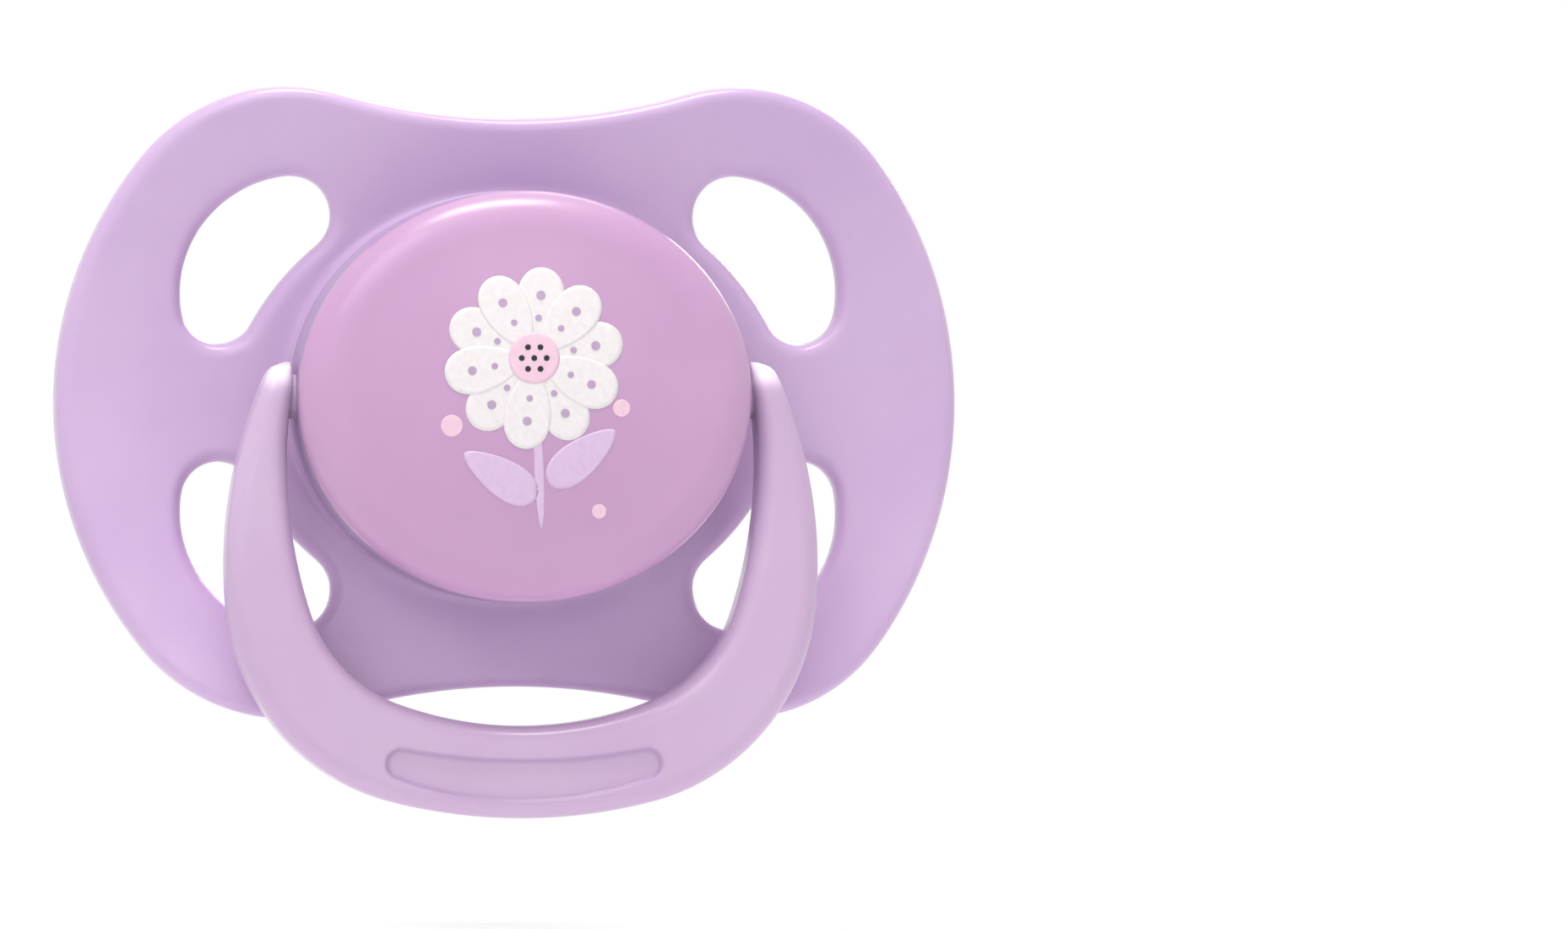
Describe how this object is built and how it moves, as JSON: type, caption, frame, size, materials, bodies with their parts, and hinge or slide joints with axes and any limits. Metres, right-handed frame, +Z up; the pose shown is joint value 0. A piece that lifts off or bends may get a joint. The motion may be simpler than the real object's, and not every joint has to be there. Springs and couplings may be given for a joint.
{
  "type": "baby pacifier",
  "caption": "Pacifier with a vented, curved lip shield, a hollow silicone teat, an oval cover over a hub, and a swinging ring handle.",
  "frame": {"origin": "on the teat's axis where the teat leaves the back face of the shield, which is where the lips close on it", "axes": "+X to the right seen from the front, +Y back towards the baby along the teat, +Z up, with the ring hanging down"},
  "size_m": [0.062, 0.0434, 0.0499],
  "materials": {
    "lilac_plastic": "satin moulded polypropylene",
    "mauve_plastic": "satin moulded polypropylene",
    "pale_lilac_plastic": "satin moulded polypropylene",
    "silicone": "clear silicone, softly frosted on the bulb"
  },
  "bodies": {
    "pacifier": {"shield": "lilac_plastic", "hub_housing": "lilac_plastic", "teat": "silicone", "teat_plug": "mauve_plastic", "cover": "mauve_plastic"},
    "ring": {"ring_handle": "pale_lilac_plastic"}
  },
  "joints": [
    {"name": "ring_swing", "type": "hinge", "parent": "pacifier", "child": "ring", "pos_m": [0, -0.00725, 0], "axis": [1, 0, 0], "range_deg": [-182, 2]}
  ]
}
